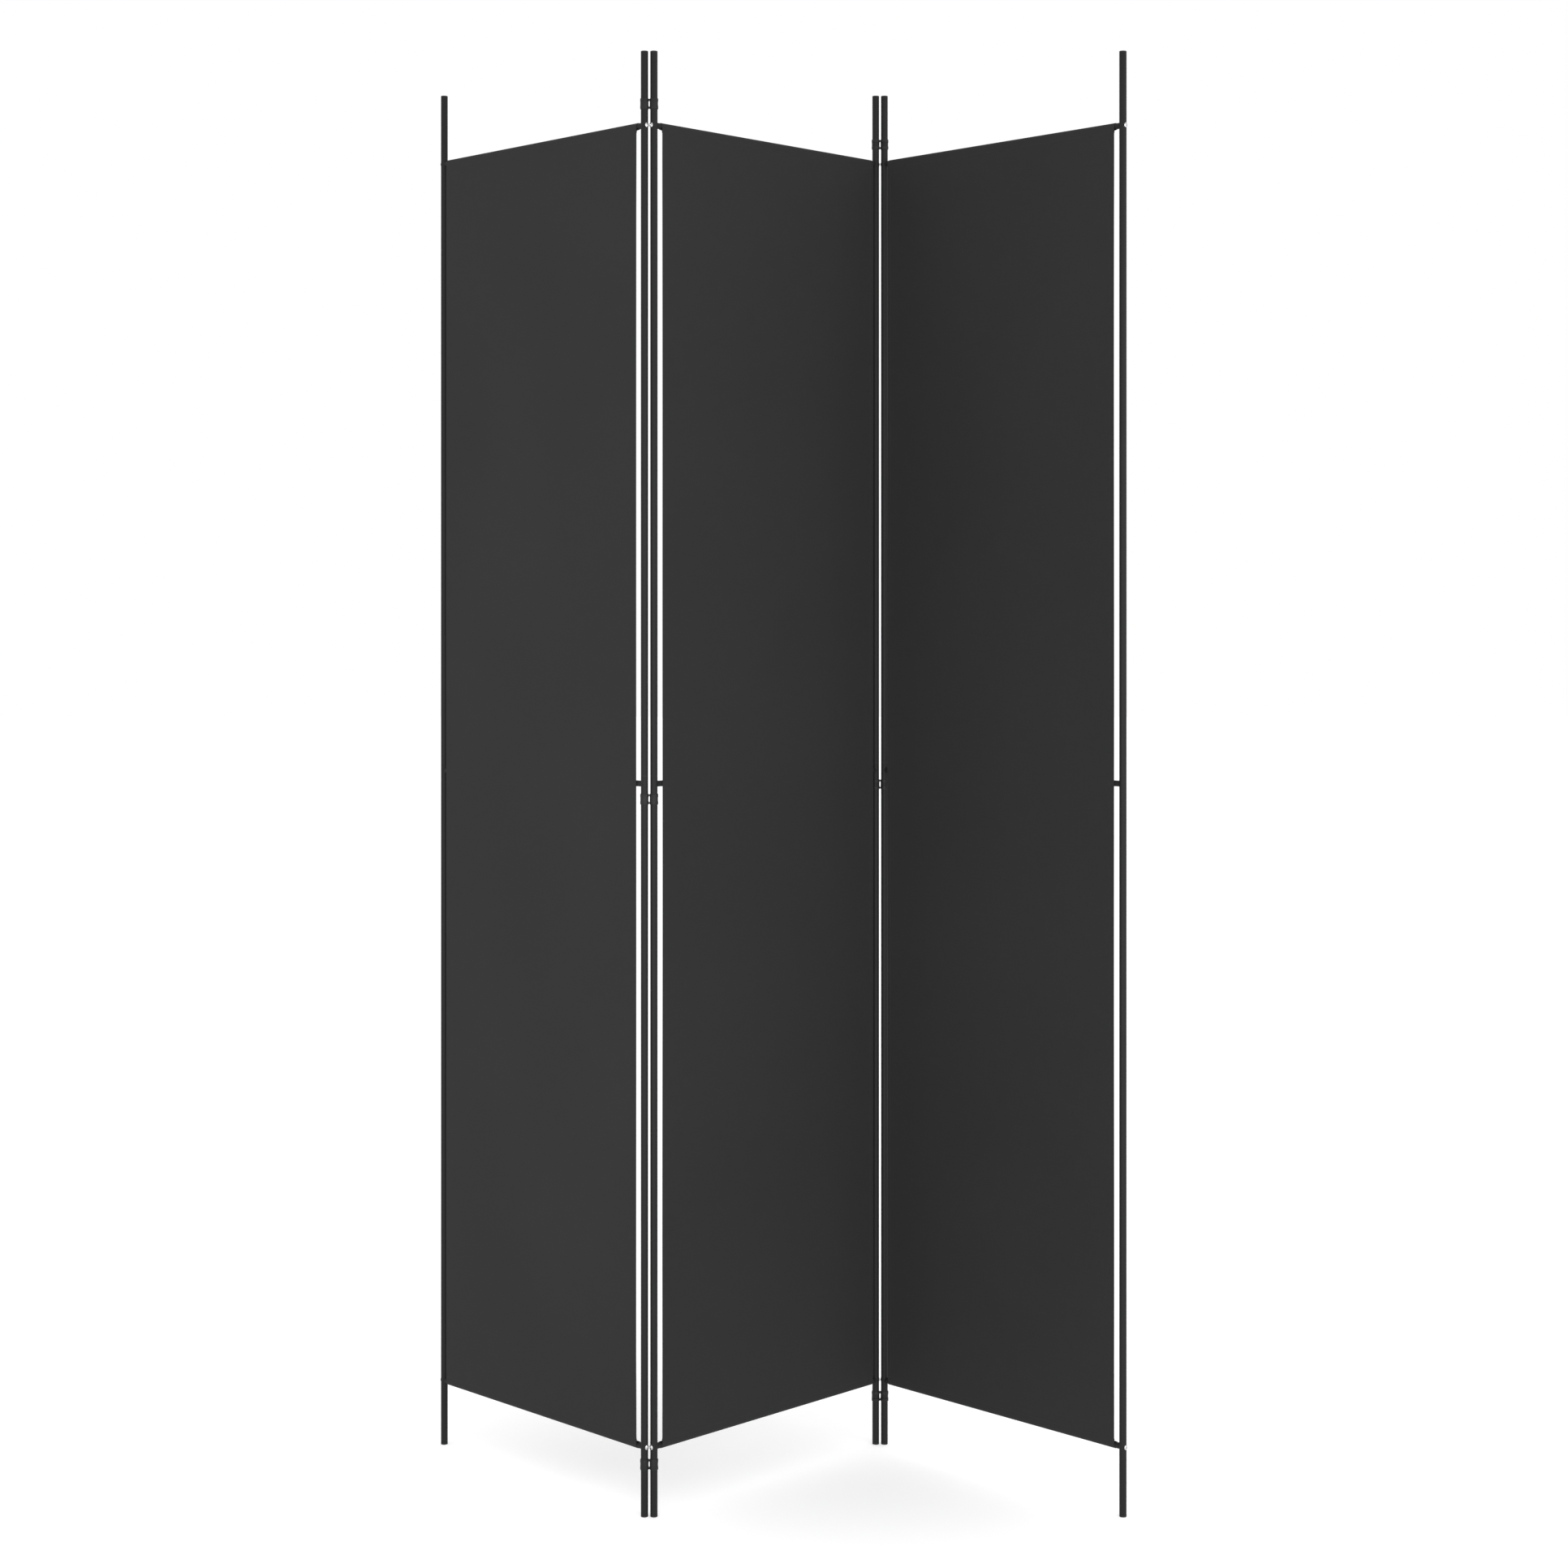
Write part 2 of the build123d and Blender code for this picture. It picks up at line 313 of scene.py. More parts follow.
def sewing_thread(rgb):
    """Two-ply thread: a fine slanting twist on a rounded strand."""
    finish = Finish("sewing_thread")
    where = finish.place((2600, 2600, 5200))
    twist = finish.node("ShaderNodeTexWave", {"bands_direction": "DIAGONAL"},
                        {"Vector": where, "Scale": 0.5, "Distortion": 1.5})
    base = finish.blend(twist, shade(rgb, 0.7), shade(rgb, 1.35))
    normal = finish.bump(twist, 0.03 * MM, 0.6)
    return finish.surface(base_color=base, roughness=0.6, normal=normal, specular_ior_level=0.3)


TUBE_END_HEIGHTS = [POST_BOTTOM, JOINT_HEIGHT, POST_TOP]
CLIP_RIM_HEIGHTS = [end.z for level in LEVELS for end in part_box(f"left_fold_{level}_clip")]


def powder_coat(name, rgb, rubbed_heights):
    """Satin powder coat: orange peel, speckle, slow drifts of gloss, and a little rubbed at some heights."""
    finish = Finish(name)
    where = finish.place()
    height = finish.part(where, 2)
    reach = 1.1 * MM
    bands = 0.0
    for rubbed in rubbed_heights:
        bands = bands + (1.0 - abs(height - rubbed) / reach).clamped()
    scratches = finish.noise(finish.place((700, 700, 1400)), 1.0, detail=3.0)
    rub = (bands * scratches * 1.6 - 0.35).clamped()
    peel = finish.noise(where, 900.0)
    speckle = finish.noise(where, 5200.0, detail=1.0)
    drift = finish.noise(where, 9.0)
    coat = finish.blend((speckle * 0.6 + drift * 0.4).clamped(), shade(rgb, 0.8), shade(rgb, 1.25))
    base = finish.blend(rub, coat, shade(rgb, 4.0))
    normal = finish.bump(peel * 0.75 + speckle * 0.25, 0.03 * MM, 0.6)
    return finish.surface(base_color=base, roughness=0.42 + drift * 0.12 + speckle * 0.06 - rub * 0.15,
                          normal=normal, specular_ior_level=0.12)


def moulded_plastic(name, rgb, roughness):
    """Spark-eroded moulding surface with faint flow marks."""
    finish = Finish(name)
    where = finish.place()
    grain = finish.noise(where, 2600.0, roughness=0.6)
    flow = finish.noise(finish.place((60, 60, 14)), 1.0)
    base = finish.blend((grain * 0.5 + flow * 0.5).clamped(), shade(rgb, 0.82), shade(rgb, 1.2))
    normal = finish.bump(grain, 0.03 * MM, 0.5)
    return finish.surface(base_color=base, roughness=roughness + flow * 0.1, normal=normal,
                          specular_ior_level=0.15)


def zinc_plate(rgb):
    """Bright plated steel with the fine rings that turning leaves, and a few dull patches."""
    finish = Finish("zinc_plate")
    ring_pitch = 0.16 * MM
    rings = (finish.part(finish.uv_map("lathe"), 1) * (2 * math.pi / ring_pitch)).sine()
    patches = finish.noise(finish.place(), 700.0, detail=3.0)
    base = finish.blend(patches, shade(rgb, 0.86), shade(rgb, 1.04))
    normal = finish.bump(rings * 0.5 + patches * 0.4, 0.01 * MM, 0.5)
    return finish.surface(base_color=base, metallic=1.0, roughness=0.2 + patches * 0.14, normal=normal)


def studio_floor(rgb):
    """A matte, nearly even floor."""
    finish = Finish("studio_floor")
    cloud = finish.noise(finish.place(), 1.2, detail=3.0)
    base = finish.blend(cloud, shade(rgb, 0.985), shade(rgb, 1.01))
    return finish.surface(base_color=base, roughness=0.9, specular_ior_level=0.0,
                          emission_color=(1.0, 1.0, 1.0, 1.0), emission_strength=0.35)


FINISHES = {}


def finish_of(name):
    """The named material, made the first time that a piece needs it."""
    if name not in FINISHES:
        colours = bpy.context.scene.divider_colours
        makers = {
            "cloth": (woven_cloth, colours.cloth),
            "thread": (sewing_thread, colours.thread),
            "coat": (powder_coat, "powder_coat", colours.coat, TUBE_END_HEIGHTS),
            "clipped_coat": (powder_coat, "powder_coat_under_clips", colours.coat,
                             TUBE_END_HEIGHTS + CLIP_RIM_HEIGHTS),
            "clip": (moulded_plastic, "clip_plastic", colours.clip, 0.42),
            "cap": (moulded_plastic, "cap_plastic", colours.cap, 0.5),
            "plug": (moulded_plastic, "plug_plastic", colours.plug, 0.5),
            "screw": (zinc_plate, colours.screw),
            "floor": (studio_floor, colours.floor),
        }
        maker, *details = makers[name]
        FINISHES[name] = maker(*details)
    return FINISHES[name]


# Mesh building

def loft(bm, rings):
    """Skins a closed loop of rings. A ring of one repeated vertex is a pole. UV: share of turn, distance."""
    uv = bm.loops.layers.uv.get("lathe") or bm.loops.layers.uv.new("lathe")
    count = len(rings[0])
    reach = [0.0]
    for before, after in zip(rings, rings[1:] + rings[:1]):
        reach.append(reach[-1] + (after[0].co - before[0].co).length)
    for i, (before, after) in enumerate(zip(rings, rings[1:] + rings[:1])):
        for k in range(count):
            j = (k + 1) % count
            corners = [(before[k], k, i), (before[j], k + 1, i)]
            corners += [(after[j], k + 1, i + 1), (after[k], k, i + 1)]
            kept = []
            for point in corners:
                if all(point[0] is not other[0] for other in kept):
                    kept.append(point)
            if len(kept) < 3:
                continue
            face = bm.faces.new([vertex for vertex, _, _ in kept])
            for loop, (_, turn, step) in zip(face.loops, kept):
                loop[uv].uv = (turn / count, reach[step])


def lathe(bm, profile, segments=TUBE_SEGMENTS, place=Matrix()):
    """Turns a closed outline of (radius, height) points round Z. Its outer wall runs upwards."""
    turns = [2 * math.pi * k / segments for k in range(segments)]
    rings = []
    for radius, height in profile:
        if radius < 1e-9:
            rings.append([bm.verts.new(place @ Vector((0, 0, height)))] * segments)
        else:
            points = (Vector((radius * math.cos(turn), radius * math.sin(turn), height)) for turn in turns)
            rings.append([bm.verts.new(place @ point) for point in points])
    loft(bm, rings)


def corner(centre, radius, start, end, steps=4):
    """Points of an arc of an outline, between two angles in degrees."""
    turns = (math.radians(start + (end - start) * k / steps) for k in range(steps + 1))
    return [(centre[0] + radius * math.cos(turn), centre[1] + radius * math.sin(turn)) for turn in turns]


def mesh_of(bm, name):
    """The finished mesh: faces outward, smooth but for its sharp edges."""
    if bm.calc_volume(signed=True) < 0:
        bmesh.ops.reverse_faces(bm, faces=bm.faces)
    mesh = bpy.data.meshes.new(name)
    bm.to_mesh(mesh)
    bm.free()
    smooth(mesh)
    return mesh


def smooth(mesh):
    mesh.shade_smooth()
    mesh.set_sharp_from_angle(angle=SHARP_ANGLE)


def add_object(name, mesh, material=None):
    made = bpy.data.objects.new(name, mesh)
    bpy.context.scene.collection.objects.link(made)
    if material is not None:
        mesh.materials.clear()
        mesh.materials.append(material)
    return made


def remove_object(made):
    mesh = made.data
    bpy.data.objects.remove(made)
    if mesh.users == 0:
        bpy.data.meshes.remove(mesh)


def applied(made, name):
    """The evaluated mesh of an object as a plain mesh. The object is removed."""
    bpy.context.view_layer.update()
    seen = made.evaluated_get(bpy.context.evaluated_depsgraph_get())
    mesh = bpy.data.meshes.new_from_object(seen)
    mesh.name = name
    remove_object(made)
    return mesh


def boolean(mesh, tool, operation):
    """The mesh joined with, or cut by, another."""
    target = add_object("boolean_target", mesh)
    other = add_object("boolean_tool", tool)
    step = target.modifiers.new("boolean", "BOOLEAN")
    step.operation = operation
    step.solver = "EXACT"
    step.object = other
    result = applied(target, mesh.name)
    remove_object(other)
    return result


def add_piece(name, mesh, finish, body, slot_name, *nodes):
    """A visible piece, with the body it rides on and the CAD nodes it replaces. The slot name is not used.
    """
    made = add_object(name, mesh, finish_of(finish))
    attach(made, body)
    if nodes:
        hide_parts(*nodes)
    return made


# Posts

SPIGOT_PLAY = 0.05 * MM
HOLE_RADIUS = 2.1 * MM
HOLE_MARK_REACH = 3.2 * MM
HOLE_MARKS = sorted(height + side * HOLE_MARK_REACH for height in RAIL_HEIGHTS.values() for side in (-1, 1))


def wall_outline(bore, bottom, top, edge):
    """Outline of a post's wall: outer ends rounded, and rings by each hole that keep its shading clean."""
    between = [height for height in HOLE_MARKS if bottom + edge < height < top - edge]
    outline = corner((POST_RADIUS - edge, bottom + edge), edge, -90, 0)
    outline += [(POST_RADIUS, height) for height in between]
    outline += corner((POST_RADIUS - edge, top - edge), edge, 0, 90)
    outline += [(bore, height) for height in (top, *reversed(between), bottom)]
    return outline


def hole_tool(height, inward):
    """Cutter for the holes at one rail: right through for a screw, one wall for the middle rail's pin."""
    bm = bmesh.new()
    end = 2 * POST_RADIUS
    start = 0.0 if height == RAIL_HEIGHTS["middle"] else -end
    outline = [(0, start), (HOLE_RADIUS, start), (HOLE_RADIUS, end), (0, end)]
    turn = Matrix.Rotation(math.radians(90 * inward), 4, "Y")
    lathe(bm, outline, HOLE_SEGMENTS, Matrix.Translation((0, 0, height)) @ turn)
    return mesh_of(bm, "hole_tool")


def post_mesh(sizes, half, inward):
    """One half of a post, standing on the Z axis."""
    bm = bmesh.new()
    bore = POST_RADIUS - sizes.post_wall
    edge = sizes.tube_edge
    if half == "lower":
        low, high = POST_BOTTOM, JOINT_HEIGHT
        outline = wall_outline(bore, low, high, edge)
    else:
        low, high = SPIGOT_BOTTOM, POST_TOP
        spigot = bore - SPIGOT_PLAY
        spigot_bore = spigot - sizes.post_wall
        ledge = JOINT_HEIGHT + sizes.post_wall
        outline = wall_outline(bore, JOINT_HEIGHT, high, edge)[:-1]
        outline += [(bore, ledge), (spigot_bore, ledge), (spigot_bore, low)]
        outline += corner((spigot - edge, low + edge), edge, -90, 0)
        outline += [(spigot, JOINT_HEIGHT)]
    lathe(bm, outline)
    mesh = mesh_of(bm, f"post_{half}")
    for height in RAIL_HEIGHTS.values():
        if low < height < high:
            mesh = boolean(mesh, hole_tool(height, inward), "DIFFERENCE")
    smooth(mesh)
    return mesh


class DIVIDER_OT_posts(Operator):
    """Make the two halves of every post, with their joint and the holes for screws and pins"""
    bl_idname = "divider.posts"
    bl_label = "Posts"

    def execute(self, context):
        sizes = context.scene.divider_sizes
        for place in PLACES:
            for side, along, inward in (("left", 0.0, 1), ("right", place.width, -1)):
                coat = "coat" if side == place.name else "clipped_coat"
                for half in ("lower", "upper"):
                    mesh = post_mesh(sizes, half, inward)
                    mesh.transform(place.matrix @ Matrix.Translation((along, 0, 0)))
                    node = place.node(f"{side}_post_{half}")
                    add_piece(f"{node}_tube", mesh, coat, place.body, "frame_tube", node)
        return {"FINISHED"}


# Rails

RAIL_SEAT_GAP = 0.02 * MM
RAIL_EDGE = 0.12 * MM
COPE_LENGTH = 9 * MM  # from a post's axis to the rail's first square ring


def rail_mesh(sizes, width, height):
    """A rail along its panel's own x, coped at both ends to the round posts."""
    bm = bmesh.new()
    seat = POST_RADIUS + RAIL_SEAT_GAP
    bore = RAIL_RADIUS - sizes.rail_wall
    outer, chamfer = RAIL_RADIUS, RAIL_RADIUS - RAIL_EDGE

    def ring(radius, along, end=None):
        vertices = []
        for k in range(TUBE_SEGMENTS):
            turn = 2 * math.pi * k / TUBE_SEGMENTS
            y = radius * math.cos(turn)
            x = along if end is None else along + end * math.sqrt(seat ** 2 - y ** 2)
            vertices.append(bm.verts.new((x, y, height + radius * math.sin(turn))))
        return vertices

    rings = [ring(chamfer, 0, 1), ring(outer, RAIL_EDGE, 1), ring(outer, COPE_LENGTH)]
    rings += [ring(outer, width - COPE_LENGTH), ring(outer, width - RAIL_EDGE, -1)]
    rings += [ring(chamfer, width, -1), ring(bore, width, -1), ring(bore, width - COPE_LENGTH)]
    rings += [ring(bore, COPE_LENGTH), ring(bore, 0, 1)]
    loft(bm, rings)
    return mesh_of(bm, "rail")


class DIVIDER_OT_rails(Operator):
    """Make the top, middle and bottom rail of every panel"""
    bl_idname = "divider.rails"
    bl_label = "Rails"

    def execute(self, context):
        for place in PLACES:
            for level in LEVELS:
                mesh = rail_mesh(context.scene.divider_sizes, place.width, RAIL_HEIGHTS[level])
                mesh.transform(place.matrix)
                node = place.node(f"{level}_rail")
                add_piece(f"{node}_tube", mesh, "coat", place.body, "frame_tube", node)
        return {"FINISHED"}


# Caps

CAP_EDGE = 0.45 * MM
CAP_PLUG_LENGTH = 12 * MM
CAP_PLUG_WALL = 1.2 * MM
CAP_DISH_DEPTH = 0.25 * MM
CAP_DISH_FLOOR = 2.2 * MM  # radius of the dish at its bottom
CAP_DISH_RIM = 2.7 * MM
LEAD_IN_LENGTH = 1.5 * MM  # chamfer that starts the plug into its post
LEAD_IN_DEPTH = 0.4 * MM
CAP_WEB = 0.4 * MM  # how far the hollow plug's floor stands above the flange


def cap_outline(sizes, flange):
    """Outline of a post's end cap, its face at height 0 and its plug pointing up."""
    bore = POST_RADIUS - sizes.post_wall
    plug_bore = bore - CAP_PLUG_WALL
    plug_top = flange + CAP_PLUG_LENGTH
    outline = [(0, CAP_DISH_DEPTH), (CAP_DISH_FLOOR, CAP_DISH_DEPTH), (CAP_DISH_RIM, 0.0)]
    outline += corner((POST_RADIUS - CAP_EDGE, CAP_EDGE), CAP_EDGE, -90, 0)
    outline += [(POST_RADIUS, flange), (bore, flange), (bore, plug_top - LEAD_IN_LENGTH)]
    outline += [(bore - LEAD_IN_DEPTH, plug_top), (plug_bore, plug_top)]
    outline += [(plug_bore, flange + CAP_WEB), (0, flange + CAP_WEB)]
    return outline


class DIVIDER_OT_caps(Operator):
    """Make the plugs that close the posts at the top and stand on the floor at the bottom"""
    bl_idname = "divider.caps"
    bl_label = "Caps"

    def execute(self, context):
        outline = cap_outline(context.scene.divider_sizes, POST_BOTTOM)
        upside_down = Matrix.Translation((0, 0, SCREEN_TOP)) @ Matrix.Rotation(math.pi, 4, "X")
        for place in PLACES:
            for part, turned in (("foot_caps", Matrix()), ("top_caps", upside_down)):
                bm = bmesh.new()
                for along in (0.0, place.width):
                    stand = place.matrix @ Matrix.Translation((along, 0, 0))
                    lathe(bm, outline, TUBE_SEGMENTS, stand @ turned)
                node = place.node(part)
                add_piece(f"{node}_moulded", mesh_of(bm, part), "cap", place.body, "cap_plastic", node)
        return {"FINISHED"}


# Hinge clips

CLIP_BRIDGE = (2.6 * MM, 5.6 * MM, 2.2 * MM)
CLIP_BRIDGE_EDGE = 0.2 * MM
CLIP_BRIDGE_REACH = 5.8 * MM  # from the clip's middle to a bridge's
CLIP_WINDOW_HEIGHT = 7 * MM
CLIP_WINDOW_EDGE = 1.2 * MM
CLIP_WINDOW_PAST = 2 * MM  # how far the window runs past the plane of the posts' axes


def rounded_box(size, centre, edge):
    bm = bmesh.new()
    bmesh.ops.create_cube(bm, size=1.0)
    bmesh.ops.scale(bm, vec=size, verts=bm.verts)
    bmesh.ops.bevel(bm, geom=list(bm.edges), offset=edge, segments=3, profile=0.5, affect="EDGES")
    bmesh.ops.translate(bm, vec=centre, verts=bm.verts)
    return mesh_of(bm, "rounded_box")


def clip_mesh(sizes, node, inner_side):
    """Two linked rings, with a window in the inner side of the fold that lets them spring over the posts."""
    size = box_size(node)
    ring_radius = size.y / 2
    pitch = size.x - 2 * ring_radius
    bore = POST_RADIUS + sizes.clip_play
    edge = sizes.clip_edge
    half = size.z / 2
    outline = corner((ring_radius - edge, -half + edge), edge, -90, 0)
    outline += corner((ring_radius - edge, half - edge), edge, 0, 90)
    outline += [(bore, half), (bore, -half)]
    mesh = None
    for side in (-1, 1):
        bm = bmesh.new()
        lathe(bm, outline, FINE_SEGMENTS, Matrix.Translation((side * pitch / 2, 0, 0)))
        ring = mesh_of(bm, "clip_ring")
        mesh = ring if mesh is None else boolean(mesh, ring, "UNION")
    for side in (-1, 1):
        bridge = rounded_box(CLIP_BRIDGE, (0, 0, side * CLIP_BRIDGE_REACH), CLIP_BRIDGE_EDGE)
        mesh = boolean(mesh, bridge, "UNION")
    window_size = (2 * size.x, 2 * ring_radius, CLIP_WINDOW_HEIGHT)
    window_place = (0, inner_side * (ring_radius - CLIP_WINDOW_PAST), 0)
    window = rounded_box(window_size, window_place, CLIP_WINDOW_EDGE)
    return boolean(mesh, window, "DIFFERENCE")


class DIVIDER_OT_clips(Operator):
    """Make the ring clips that link the posts at both folds"""
    bl_idname = "divider.clips"
    bl_label = "Hinge clips"

    def execute(self, context):
        sizes = context.scene.divider_sizes
        for fold, inner_side in (("left", 1), ("right", -1)):
            for level in LEVELS:
                node = f"{fold}_fold_{level}_clip"
                mesh = clip_mesh(sizes, node, inner_side)
                mesh.transform(Matrix.Translation(box_middle(node)))
                smooth(mesh)
                add_piece(f"{node}_moulded", mesh, "clip", f"{fold}_clips", "clip_plastic", node)
        return {"FINISHED"}


# Geometry Nodes helper

class NodeGraph:
    """A Geometry Nodes tree under construction. Inputs are given as {name: (kind of socket, value)}."""

    def __init__(self, name, inputs):
        self.name = name
        self.tree = bpy.data.node_groups.new(name, "GeometryNodeTree")
        self.values = {}
        new_socket = self.tree.interface.new_socket
        for way in ("INPUT", "OUTPUT"):
            new_socket("Geometry", in_out=way, socket_type="NodeSocketGeometry")
        for key, (kind, value) in inputs.items():
            socket = new_socket(key, in_out="INPUT", socket_type=f"NodeSocket{kind}")
            self.values[socket.identifier] = value
        self.entry = self.tree.nodes.new("NodeGroupInput")

    def node(self, kind, settings, values, output=0):
        return add_node(self.tree, kind, settings, values).outputs[output]

    def named(self, name):
        return self.entry.outputs[name]

    def end(self, points, copied, aim):
        """Ends the tree with a real copy of a shape on each point."""
        placed = self.node("GeometryNodeInstanceOnPoints", {},
                           {"Points": points, "Instance": copied, "Rotation": aim})
        solid = self.node("GeometryNodeRealizeInstances", {}, {"Geometry": placed})
        add_node(self.tree, "NodeGroupOutput", {}, {"Geometry": solid})

    def run_on(self, mesh):
        """The tree's result on a mesh, as a plain mesh."""
        made = add_object(self.name, mesh)
        step = made.modifiers.new(self.name, "NODES")
        step.node_group = self.tree
        for identifier, value in self.values.items():
            step[identifier] = value
        return applied(made, self.name)


# Rail screws

def screw_mesh():
    """A low domed screw with a cross recess, its seat at height 0 and its head above."""
    head_radius, crown, rim = 3.6 * MM, 1.4 * MM, 0.4 * MM
    shank, tip, reach = 1.95 * MM, 0.8 * MM, 26 * MM
    recess_mouth, recess_floor = (3.6 * MM, 0.85 * MM), (1.6 * MM, 0.5 * MM)
    recess_top, recess_bottom = crown + 0.3 * MM, crown - 0.95 * MM
    seat_edge = 0.1 * MM
    bm = bmesh.new()
    sagitta = crown - rim
    ball = (head_radius ** 2 + sagitta ** 2) / (2 * sagitta)
    half_angle = math.degrees(math.asin(head_radius / ball))
    dome = corner((0, crown - ball), ball, 90 - half_angle, 90, 12)
    outline = [(shank, 0.0), (head_radius - seat_edge, 0.0), (head_radius, seat_edge)] + dome[:-1]
    outline += [(0, crown), (0, -reach), (shank - tip * 0.6, -reach), (shank, -reach + tip)]
    lathe(bm, outline, FINE_SEGMENTS)
    mesh = mesh_of(bm, "screw")
    for turn in (0, math.pi / 2):
        bm = bmesh.new()
        bmesh.ops.create_cube(bm, size=1.0)
        for vertex in bm.verts:
            size = recess_mouth if vertex.co.z > 0 else recess_floor
            vertex.co.x = math.copysign(size[0] / 2, vertex.co.x)
            vertex.co.y = math.copysign(size[1] / 2, vertex.co.y)
            vertex.co.z = recess_top if vertex.co.z > 0 else recess_bottom
        bmesh.ops.rotate(bm, matrix=Matrix.Rotation(turn, 3, "Z"), verts=bm.verts)
        mesh = boolean(mesh, mesh_of(bm, "recess_tool"), "DIFFERENCE")
    smooth(mesh)
    return mesh


def screw_tree(source, seed):
    """Sets a copy of the screw on every point, turned to the point's own direction."""
    graph = NodeGraph("rail_screws", {"Screw": ("Object", source), "Seed": ("Int", seed)})
    screw = graph.node("GeometryNodeObjectInfo", {"transform_space": "ORIGINAL"},
                       {"Object": graph.named("Screw")}, output="Geometry")
    outward = graph.node("GeometryNodeInputNamedAttribute", {"data_type": "FLOAT_VECTOR"},
                         {"Name": "outward"})
    aim = graph.node("FunctionNodeAlignRotationToVector", {"axis": "Z"}, {"Vector": outward})
    spin = graph.node("FunctionNodeRandomValue", {"data_type": "FLOAT"},
                      {2: 0.0, 3: math.pi / 2, "Seed": graph.named("Seed")}, output=1)
    axis_turn = graph.node("FunctionNodeAxisAngleToRotation", {}, {"Axis": (0, 0, 1), "Angle": spin})
    turned = graph.node("FunctionNodeRotateRotation", {"rotation_space": "LOCAL"},
                        {"Rotation": aim, "Rotate By": axis_turn})
    graph.end(graph.named("Geometry"), screw, turned)
    return graph


class DIVIDER_OT_screws(Operator):
    """Make the screws that hold the top and bottom rails, one group for each panel"""
    bl_idname = "divider.screws"
    bl_label = "Rail screws"

    def execute(self, context):
        seed = context.scene.divider_sizes.seed
        source = add_object("screw_source", screw_mesh())
        for number, place in enumerate(PLACES):
            seats, directions = [], []
            for along, side in ((0.0, -1), (place.width, 1)):
                for level in ("top", "bottom"):
                    seat = Vector((along + side * POST_RADIUS, 0, RAIL_HEIGHTS[level]))
                    seats.append(place.matrix @ seat)
                    directions.append(place.matrix.to_3x3() @ Vector((side, 0, 0)))
            points = bpy.data.meshes.new("screw_points")
            points.from_pydata(seats, [], [])
            outward = points.attributes.new("outward", "FLOAT_VECTOR", "POINT")
            for item, direction in zip(outward.data, directions):
                item.vector = direction
            mesh = screw_tree(source, seed + number).run_on(points)
            node = place.node("rail_screws")
            add_piece(f"{node}_plated", mesh, "screw", place.body, "screw_steel", node)
        remove_object(source)
        return {"FINISHED"}


# Plugs inside the rails

class DIVIDER_OT_plugs(Operator):
    """Finish the threaded plugs and the pin plugs, whose CAD shapes stay"""
    bl_idname = "divider.plugs"
    bl_label = "Rail plugs"

    def execute(self, context):
        for place in PLACES:
            for part in ("threaded_plugs", "pin_plugs"):
                for held in frame["nodes"][place.node(part)].material_slots:
                    held.material = finish_of("plug")
        return {"FINISHED"}


# Cloth

TUCK_LENGTH = 3 * MM  # tucked end of a pocket, below its seam
BEND_BEFORE = 0.5 * MM  # the fold at a seam starts this far below it
BEND_AFTER = 0.7 * MM  # and ends this far above it
WRAP_STEPS = 22  # round a rail
NEAR_REACH = 60 * MM  # next to a rail, where the rows are closer
NEAR_ROWS = 12
ROW_STEP = 16 * MM
COLUMN_STEP = 5 * MM
HEM_COLUMNS = (1.5 * MM, 3.5 * MM, 6 * MM)
WAVE_RISE = 0.12  # from a seam to the waves' full height
GATHER_FADE = 0.03
GATHER_START = 0.006
GATHER_PITCHES = (0.026, 0.041, 0.067)
GATHER_HEIGHT = 0.06 * MM
SEAM_OFFSET = 1.6 * MM  # a pocket's stitches, beyond the pocket's drop
HEM_SEAM_INSET = 2 * MM
SEAM_STEP = 1.5 * MM


